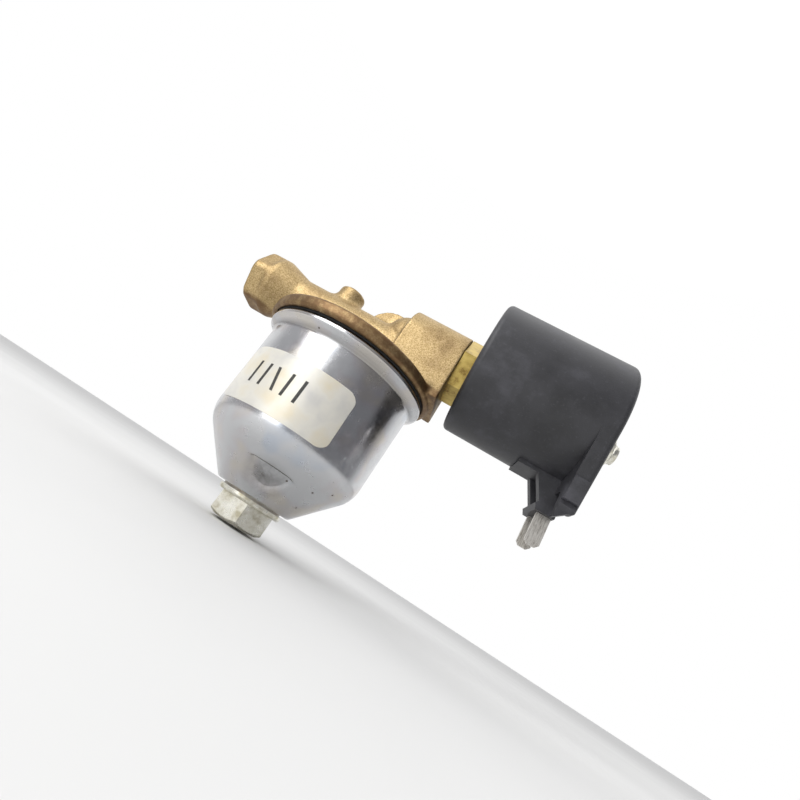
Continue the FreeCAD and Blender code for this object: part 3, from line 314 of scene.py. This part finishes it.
def tinnedBlade():
    # dull tin plate on brass, scratched lengthways by the plug, with dark oxide in the scratches
    look = {"light": "#e0ddd6", "base": "#c6c2bb", "dark": "#8a847b"}
    material, tree, shader, place = newMaterial("tinnedBlade", {"Metallic": 0.85, "Roughness": 0.4})
    scratch = grain(tree, place, 0.5, 5.0, 0.7, (1.6, 1, 0.22))
    blot = grain(tree, place, 2.0, 4.0, 0.7)
    colour = rampOf(tree, scratch, [(0.33, look["dark"]), (0.46, look["base"]), (0.62, look["light"])])
    colour = mixed(tree, between(tree, blot, 0.0, 0.8, 0.6, 0.7), colour, look["dark"])
    tree.links.new(colour, shader.inputs["Base Color"])
    tree.links.new(between(tree, scratch, 0.5, 0.3, 0.35, 0.7), shader.inputs["Roughness"])
    bumpOn(tree, shader, scratch, 0.008, 0.8)
    return material


def copperWire():
    # enamelled copper wound in even layers: amber gloss, one ridge for each turn
    material, tree, shader, place = newMaterial("copperWire", {"Metallic": 1.0, "Roughness": 0.25,
                                                               "Coat Weight": 0.5})
    turns = addNode(tree, "TexWave", {"wave_type": "BANDS", "bands_direction": "X", "Scale": 1 / (0.3 * mm) / 6.28},
                    {"Vector": place}).outputs["Fac"]
    patch = grain(tree, place, 3.0, 3.0, 0.6)
    tree.links.new(rampOf(tree, patch, [(0.3, "#7d3a1c"), (0.6, "#b4602f")]), shader.inputs["Base Color"])
    bumpOn(tree, shader, turns, 0.1, 0.7)
    return material


def plainMetal(name, light, dark, rough):
    # ground or drawn metal: fine lines along the piece and a slow change of tone
    material, tree, shader, place = newMaterial(name, {"Metallic": 1.0, "Roughness": rough})
    patch = grain(tree, place, 2.5, 4.0, 0.6)
    lines = grain(tree, place, 0.3, 2.0, 0.5, (0.1, 1, 1))
    tree.links.new(rampOf(tree, patch, [(0.3, dark), (0.65, light)]), shader.inputs["Base Color"])
    tree.links.new(between(tree, lines, rough - 0.06, rough + 0.1, 0.35, 0.7), shader.inputs["Roughness"])
    bumpOn(tree, shader, lines, 0.008, 0.5)
    return material


def plainMatt(name, light, dark, rough, sizeMm, reliefMm):
    # rubber, felt or plastic: a slow tone and a fine surface relief
    material, tree, shader, place = newMaterial(name, {"Roughness": rough})
    patch = grain(tree, place, sizeMm, 4.0, 0.6)
    tree.links.new(rampOf(tree, patch, [(0.3, dark), (0.7, light)]), shader.inputs["Base Color"])
    bumpOn(tree, shader, grain(tree, place, sizeMm / 3, 3.0, 0.6), reliefMm, 0.6)
    return material


finishes = {
    "brass_forged": forgedBrass(),
    "brass_machined": turnedBrass(),
    "zinc_steel": brightZinc(),
    "bolt_zinc": hardwareZinc(),
    "black_moulding": mouldedNylon(),
    "label_paper": labelFilm(),
    "tinned": tinnedBlade(),
    "winding_wire": copperWire(),
    "copper": plainMetal("tinnedCopper", "#aba79e", "#85796c", 0.38),     # sealing ring of tinned soft copper
    "steel": plainMetal("groundSteel", "#a9a9a9", "#7b7b7c", 0.34),      # ground soft iron
    "stainless": plainMetal("drawnStainless", "#bdbdbf", "#8f8f92", 0.24),  # drawn stainless tube and wire
    "rubber_black": plainMatt("nitrileRubber", "#2c2c2c", "#1b1b1b", 0.62, 1.2, 0.02),
    "filter_felt": plainMatt("filterPaper", "#d8cfb2", "#b9ad8b", 0.9, 0.8, 0.08),
    "cap_plastic": plainMatt("capNylon", "#3a3a3c", "#252527", 0.5, 1.5, 0.02),
    "bobbin_plastic": plainMatt("naturalNylon", "#d3ccb9", "#b8b09a", 0.45, 2.0, 0.01),
}
for part in record["subparts"]:
    piece = nodes[part["node"]]
    piece.data.materials.clear()
    piece.data.materials.append(finishes[part["material_slot"]])
print("finishes ready")


# the forging, with its blends

forging = {
    "voxelMm": 0.34,          # mesh size of the forging's skin
    "blendSteps": 34,         # more steps give larger blends in the inside corners
    "blendRate": 0.5,
    "skinSteps": 3,           # light smoothing that takes the saw-tooth off outside edges
    "keepOff": 0.6,           # clear of machined holes, mm
}


def gridMesh(source, voxel):
    # copies a node's skin and remeshes it evenly
    copy = source.copy()
    copy.data = source.data.copy()
    bpy.context.scene.collection.objects.link(copy)
    remesh = copy.modifiers.new("skin", "REMESH")
    remesh.mode = "VOXEL"
    remesh.voxel_size = voxel
    remesh.use_smooth_shade = True
    graph = bpy.context.evaluated_depsgraph_get()
    mesh = bpy.data.meshes.new_from_object(copy.evaluated_get(graph))
    bpy.data.objects.remove(copy)
    return mesh


def makeForging():
    mesh = gridMesh(nodes["valve_body"], forging["voxelMm"] * mm)
    count = len(mesh.vertices)
    place = np.empty(count * 3)
    mesh.vertices.foreach_get("co", place)
    place = place.reshape(-1, 3)
    edges = np.empty(len(mesh.edges) * 2, dtype=np.int64)
    mesh.edges.foreach_get("vertices", edges)
    edges = edges.reshape(-1, 2)
    share = np.bincount(edges.ravel(), minlength=count)[:, None]
    # machined holes and the sealing face keep their shape
    free = place[:, 2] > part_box("bowl_seal")[0][2] + 2.6 * mm
    for name in ("mounting_boss", "inlet_port", "outlet_port"):
        mount = ports[name]
        middle = np.array(mount["pos_m"])
        axis = np.array(mount["axis"], dtype=float)
        along = (place - middle) @ axis
        off = np.linalg.norm(place - middle - along[:, None] * axis, axis=1)
        free &= ~((off < (mount["dims"]["r_mm"] + forging["keepOff"]) * mm) & (along > -14 * mm))
    tube = np.array([0.0, 0.0, (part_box("armature_tube")[0][2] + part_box("armature_tube")[1][2]) / 2])
    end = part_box("armature_base")[0][0]
    chamber = np.linalg.norm((place - tube)[:, 1:], axis=1) < 7.4 * mm
    free &= ~(chamber & (place[:, 0] > end - 10 * mm))
    free = free[:, None].astype(float)

    def spread(values):
        total = np.zeros_like(values)
        np.add.at(total, edges[:, 0], values[edges[:, 1]])
        np.add.at(total, edges[:, 1], values[edges[:, 0]])
        return total / share

    normals = np.empty(count * 3)
    for step in range(forging["blendSteps"]):
        if step % 4 == 0:
            mesh.vertices.foreach_set("co", place.ravel())
            mesh.update()
            mesh.vertex_normals.foreach_get("vector", normals)
            facing = spread(normals.reshape(-1, 3))
        shift = spread(place) - place
        outward = np.sum(shift * facing, axis=1, keepdims=True)
        hollow = (outward > 0.004 * mm).astype(float) * free
        place = place + shift * hollow * forging["blendRate"]
    for step in range(forging["skinSteps"]):
        place = place + (spread(place) - place) * 0.5 * free
    mesh.vertices.foreach_set("co", place.ravel())
    mesh.update()
    for polygon in mesh.polygons:
        polygon.use_smooth = True
    mesh.materials.clear()
    mesh.materials.append(finishes["brass_forged"])
    body = bpy.data.objects.new("brassForging", mesh)
    bpy.context.scene.collection.objects.link(body)
    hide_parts("valve_body")
    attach(body, "valve")
    print("forging:", count, "points")


makeForging()


# the drawn bowl

def roundedLine(corners, steps=8):
    # an outline (radius, height) whose corners (x, y, round) are rounded by arcs
    points = []
    for number, (x, y, radius) in enumerate(corners):
        here = Vector((x, y))
        if radius == 0 or number in (0, len(corners) - 1):
            points.append(here)
            continue
        before = (Vector(corners[number - 1][:2]) - here).normalized()
        after = (Vector(corners[number + 1][:2]) - here).normalized()
        half = before.angle(after) / 2
        reach = radius / math.tan(half)
        start = here + before * reach
        end = here + after * reach
        centre = here + (before + after).normalized() * (radius / math.sin(half))
        sweep = (start - centre).angle(end - centre)
        for step in range(steps + 1):
            blend = step / steps
            a = math.sin((1 - blend) * sweep) / math.sin(sweep)
            b = math.sin(blend * sweep) / math.sin(sweep)
            points.append(centre + (start - centre) * a + (end - centre) * b)
    return points


def evenly(points, longest):
    # adds points so that no run of the outline is longer than that
    result = [points[0]]
    for start, end in zip(points, points[1:]):
        pieces = max(1, math.ceil((end - start).length / longest))
        result += [start.lerp(end, (piece + 1) / pieces) for piece in range(pieces)]
    return result


def smoothStep(value):
    value = min(max(value, 0.0), 1.0)
    return value * value * (3 - 2 * value)


def makeBowl():
    size = bowl
    axis = (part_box("filter_bowl")[0][0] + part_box("filter_bowl")[1][0]) / 2
    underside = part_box("filter_bowl")[1][2] + size["lipGap"] * mm
    outer = roundedLine([
        (size["hole"], -size["depth"], 0), (size["seatRadius"], -size["depth"], size["footRound"]),
        (size["footRadius"], -size["shoulder"], size["shoulderRound"]), (size["radius"], -size["neck"], 1.6),
        (size["lipRadius"] - 0.7, -size["lipGap"] - size["lipHeight"], 0.35),
        (size["lipRadius"], -size["lipGap"] - size["lipHeight"] + 0.5, 0.45),
        (size["lipRadius"], -size["lipGap"], size["lipRound"]), (size["radius"] - size["wall"], -size["lipGap"], 0)])
    outer = evenly(outer, 0.5)
    inner = roundedLine([
        (size["radius"] - size["wall"], -size["lipGap"], 0),
        (size["radius"] - size["wall"], -size["neck"], 0.8),
        (size["footRadius"] - size["wall"], -size["shoulder"] + size["wall"] / 3,
         size["shoulderRound"] - size["wall"]),
        (size["seatRadius"] - size["wall"] / 2, -size["depth"] + size["wall"], 1.0),
        (size["hole"], -size["depth"] + size["wall"], 0)])
    inner = evenly(inner, 1.2)[1:]
    profile = [(point, 1.0) for point in outer] + [(point, 0.0) for point in inner]
    turn = math.radians(size["dishTurn"])
    centre = Vector((size["dishReach"] * math.sin(turn), -size["dishReach"] * math.cos(turn), -size["dishDrop"]))
    mesh = bpy.data.meshes.new("drawnBowl")
    build = bmesh.new()
    rings = []
    for point, skin in profile:
        row = []
        for number in range(size["turns"]):
            angle = 2 * math.pi * number / size["turns"]
            spot = Vector((point.x * math.cos(angle), point.x * math.sin(angle), point.y))
            if skin:
                spot = pressIn(spot, centre, size)
                # slow waviness of hand-finished sheet
                wave = noise.noise(spot * 0.16) * 0.035
                spot += Vector((math.cos(angle), math.sin(angle), 0)) * wave * smoothStep((-spot.z - 4) / 3)
            row.append(build.verts.new((axis + spot.x * mm, spot.y * mm, underside + spot.z * mm)))
        rings.append(row)
    rings.append(rings[0])
    for low, high in zip(rings, rings[1:]):
        for number in range(size["turns"]):
            after = (number + 1) % size["turns"]
            build.faces.new((low[number], low[after], high[after], high[number]))
    bmesh.ops.recalc_face_normals(build, faces=build.faces)
    build.to_mesh(mesh)
    build.free()
    for polygon in mesh.polygons:
        polygon.use_smooth = True
    mesh.materials.append(finishes["zinc_steel"])
    body = bpy.data.objects.new("drawnBowl", mesh)
    bpy.context.scene.collection.objects.link(body)
    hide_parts("filter_bowl")
    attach(body, "valve")
    print("bowl:", len(mesh.vertices), "points")


def pressIn(spot, centre, size):
    # a dish pressed by a round punch, sheared off straight along its upper edge
    away = spot - centre
    depth = size["dishRadius"] - away.length
    if depth < -size["dishBlend"] or spot.z > -size["dishEdge"] + size["edgeBlend"]:
        return spot
    # a soft roll-over at the rim and a crisp one at the sheared edge
    if depth < size["dishBlend"]:
        depth = (depth + size["dishBlend"]) ** 2 / (4 * size["dishBlend"])
    edge = smoothStep((-size["dishEdge"] + size["edgeBlend"] - spot.z) / (2 * size["edgeBlend"]))
    return spot + away.normalized() * depth * edge


makeBowl()


# print on the label: plain bars in place of a date code

printing = {"bars": (0, 1, 3, 4), "slash": 2, "pitch": 3.3, "width": 0.75, "height": 5.6, "lift": 0.03, "sink": 0.05,
            "turn": -14.0, "drop": 17.6}


def makePrint():
    size = printing
    low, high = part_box("bowl_label")
    bowlLow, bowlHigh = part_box("filter_bowl")
    axis = (bowlLow[0] + bowlHigh[0]) / 2
    radius = -low[1] + size["lift"] * mm
    mesh = bpy.data.meshes.new("labelPrint")
    build = bmesh.new()
    steps = 6
    for number in range(5):
        lean = 1.5 if number == size["slash"] else 0.0
        middle = (number - 2) * size["pitch"]
        rows = []
        for step in range(steps + 1):
            share = step / steps
            z = high[2] - (size["drop"] - 11.0 - size["height"] / 2 + share * size["height"]) * mm
            shift = (share - 0.5) * lean
            row = []
            for side, sink in ((-0.5, 0.0), (0.5, 0.0), (0.5, size["sink"]), (-0.5, size["sink"])):
                angle = math.radians(size["turn"]) + (middle + shift + side * size["width"]) * mm / radius
                taper = (high[2] - z) * 0.024
                reach = radius - taper - sink * mm
                row.append(build.verts.new((axis + reach * math.sin(angle), -reach * math.cos(angle), z)))
            rows.append(row)
        sweep(build, rows)
    bmesh.ops.recalc_face_normals(build, faces=build.faces)
    build.to_mesh(mesh)
    build.free()
    mesh.materials.append(printInk())
    bars = bpy.data.objects.new("labelPrint", mesh)
    bpy.context.scene.collection.objects.link(bars)
    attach(bars, "valve")


makePrint()


# threads that show in the open ports

threads = {"inlet_port": {"pitch": 1.0, "rise": 0.42}, "outlet_port": {"pitch": 1.0, "rise": 0.42},
           "mounting_boss": {"pitch": 0.8, "rise": 0.34}}


def makeThread(name):
    # ridges of an internal thread, standing in from the hole's wall
    mount = ports[name]
    size = threads[name]
    radius = mount["dims"]["r_mm"]
    length = mount["dims"]["length_mm"] - 1.0
    segments = 48
    turns = length / size["pitch"]
    axis = Vector(mount["axis"])
    side = axis.orthogonal().normalized()
    other = axis.cross(side)
    start = Vector(mount["pos_m"]) - axis * 0.6 * mm
    mesh = bpy.data.meshes.new(name + "Thread")
    build = bmesh.new()
    section = ((0.0, -0.44, 0.05), (size["rise"], -0.1, 0.0), (size["rise"], 0.1, 0.0), (0.0, 0.44, 0.05))
    rows = []
    for step in range(int(turns * segments)):
        angle = 2 * math.pi * step / segments
        fade = min(1.0, step / segments, (int(turns * segments) - 1 - step) / segments)
        outward = side * math.cos(angle) + other * math.sin(angle)
        row = []
        for rise, along, root in section:
            depth = step / segments * size["pitch"] + along * size["pitch"] + 0.5 * size["pitch"]
            row.append(build.verts.new(start + outward * (radius + root - rise * fade) * mm - axis * depth * mm))
        rows.append(row)
    sweep(build, rows)
    bmesh.ops.recalc_face_normals(build, faces=build.faces)
    build.to_mesh(mesh)
    build.free()
    for polygon in mesh.polygons:
        polygon.use_smooth = True
    mesh.materials.append(finishes["brass_machined"])
    ridge = bpy.data.objects.new(name + "Thread", mesh)
    bpy.context.scene.collection.objects.link(ridge)
    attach(ridge, "valve")


for name in threads:
    makeThread(name)
print("print and threads ready")


# the return spring, as a smooth-shaded copy of the part


def makeSpring():
    spring = bpy.data.objects.new("liftSpring", nodes["return_spring"].data.copy())
    bpy.context.scene.collection.objects.link(spring)
    for polygon in spring.data.polygons:
        polygon.use_smooth = True
    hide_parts("return_spring")
    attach(spring, "valve")
    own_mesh(spring)


makeSpring()


# studio

studio = {
    "azimuth": 10.06, "elevation": 20.12, "roll": 33.2, "lens": 19.96,
    "place": (47.18, -107.49, -60.97),       # camera from the boss's mouth, mm
    "floorGap": 0.6, "floorSize": 6.0,
}


softboxes = {   # angles in degrees, reach and size in metres, glow as the brightness of the face
    "keySoftbox": {"azimuth": -36, "elevation": 32, "reach": 0.42, "size": (0.26, 0.26), "glow": 4.4},
    "skySoftbox": {"azimuth": 40, "elevation": 78, "reach": 0.45, "size": (0.40, 0.40), "glow": 0.6},
    "frontSoftbox": {"azimuth": -24, "elevation": 6, "reach": 0.50, "size": (0.26, 0.26), "glow": 1.8},
    "endStrip": {"azimuth": 100, "elevation": 30, "reach": 0.40, "size": (0.10, 0.30), "glow": 1.6},
}


def makeCamera():
    size = studio
    camera = bpy.data.cameras.new("camera")
    camera.lens = size["lens"]
    camera.sensor_width = 36
    camera.clip_start = 0.001
    camera.clip_end = 100
    holder = bpy.data.objects.new("camera", camera)
    turn = (Matrix.Rotation(math.radians(size["azimuth"]), 4, "Z")
            @ Matrix.Rotation(math.radians(90 + size["elevation"]), 4, "X")
            @ Matrix.Rotation(math.radians(size["roll"]), 4, "Z"))
    holder.matrix_world = Matrix.Translation(Vector(size["place"]) * mm) @ turn
    bpy.context.scene.collection.objects.link(holder)
    bpy.context.scene.camera = holder


def addSoftbox(name, azimuth, elevation, reach, size, glow, colour="#ffffff"):
    # azimuth runs from -Y towards +X, seen from the object's middle; glow is the face's brightness
    lamp = bpy.data.lights.new(name, "AREA")
    lamp.shape = "RECTANGLE"
    lamp.size, lamp.size_y = size
    lamp.energy = glow * math.pi * size[0] * size[1]
    lamp.color = toLinear(colour)[:3]
    holder = bpy.data.objects.new(name, lamp)
    bpy.context.scene.collection.objects.link(holder)
    low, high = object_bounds()
    middle = (Vector(low) + Vector(high)) / 2
    a, e = math.radians(azimuth), math.radians(elevation)
    away = Vector((math.sin(a) * math.cos(e), -math.cos(a) * math.cos(e), math.sin(e)))
    turn = (-away).to_track_quat("-Z", "Y").to_matrix().to_4x4()
    holder.matrix_world = Matrix.Translation(middle + away * reach) @ turn


def makeFloor():
    size = studio
    low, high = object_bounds()
    half = size["floorSize"] / 2
    height = low[2] - size["floorGap"] * mm
    mesh = bpy.data.meshes.new("floor")
    mesh.from_pydata([(-half, -half, height), (half, -half, height), (half, half, height), (-half, half, height)],
                     [], [(0, 1, 2, 3)])
    material, tree, shader, place = newMaterial("paintedBoard", {"Roughness": 0.7})
    tone = grain(tree, place, 40.0, 2.0, 0.5)
    tree.links.new(rampOf(tree, tone, [(0.3, "#dededd"), (0.7, "#e2e2e1")]), shader.inputs["Base Color"])
    mesh.materials.append(material)
    floor = bpy.data.objects.new("floor", mesh)
    bpy.context.scene.collection.objects.link(floor)


def makeWorld():
    world = bpy.data.worlds.new("studio")
    bpy.context.scene.world = world
    world.use_nodes = True
    tree = world.node_tree
    tree.nodes.clear()
    place = addNode(tree, "TexCoord").outputs["Generated"]
    # a white cove behind the object, a greyer room on the other side, one dark curtain at the right
    cove = addNode(tree, "VectorMath", {"operation": "DOT_PRODUCT", 1: (-0.164, 0.925, 0.344)}, {0: place})
    room = rampOf(tree, between(tree, cove.outputs["Value"], 0.0, 1.0, -1.0, 1.0),
                  [(0.0, "#b4b4b6"), (0.62, "#c2c2c4"), (0.78, "#ffffff")])
    side = addNode(tree, "VectorMath", {"operation": "DOT_PRODUCT", 1: (0.92, -0.195, 0.342)}, {0: place})
    curtain = between(tree, side.outputs["Value"], 0.0, 0.9, 0.5, 0.9)
    colour = mixed(tree, curtain, room, "#77777b")
    # a ceiling panel keeps the floor pale as far as it goes
    height = addNode(tree, "SeparateXYZ", None, {"Vector": place}).outputs[2]
    sky = addNode(tree, "Background", None, {"Color": colour, "Strength": between(tree, height, 1.0, 1.4, 0.72, 0.9)})
    addNode(tree, "OutputWorld", None, {"Surface": sky.outputs[0]})


makeCamera()
for name, lamp in softboxes.items():
    addSoftbox(name, lamp["azimuth"], lamp["elevation"], lamp["reach"], lamp["size"], lamp["glow"])
makeFloor()
makeWorld()
bpy.context.scene.view_settings.view_transform = "Standard"   # plain photographic colours
print("studio ready")
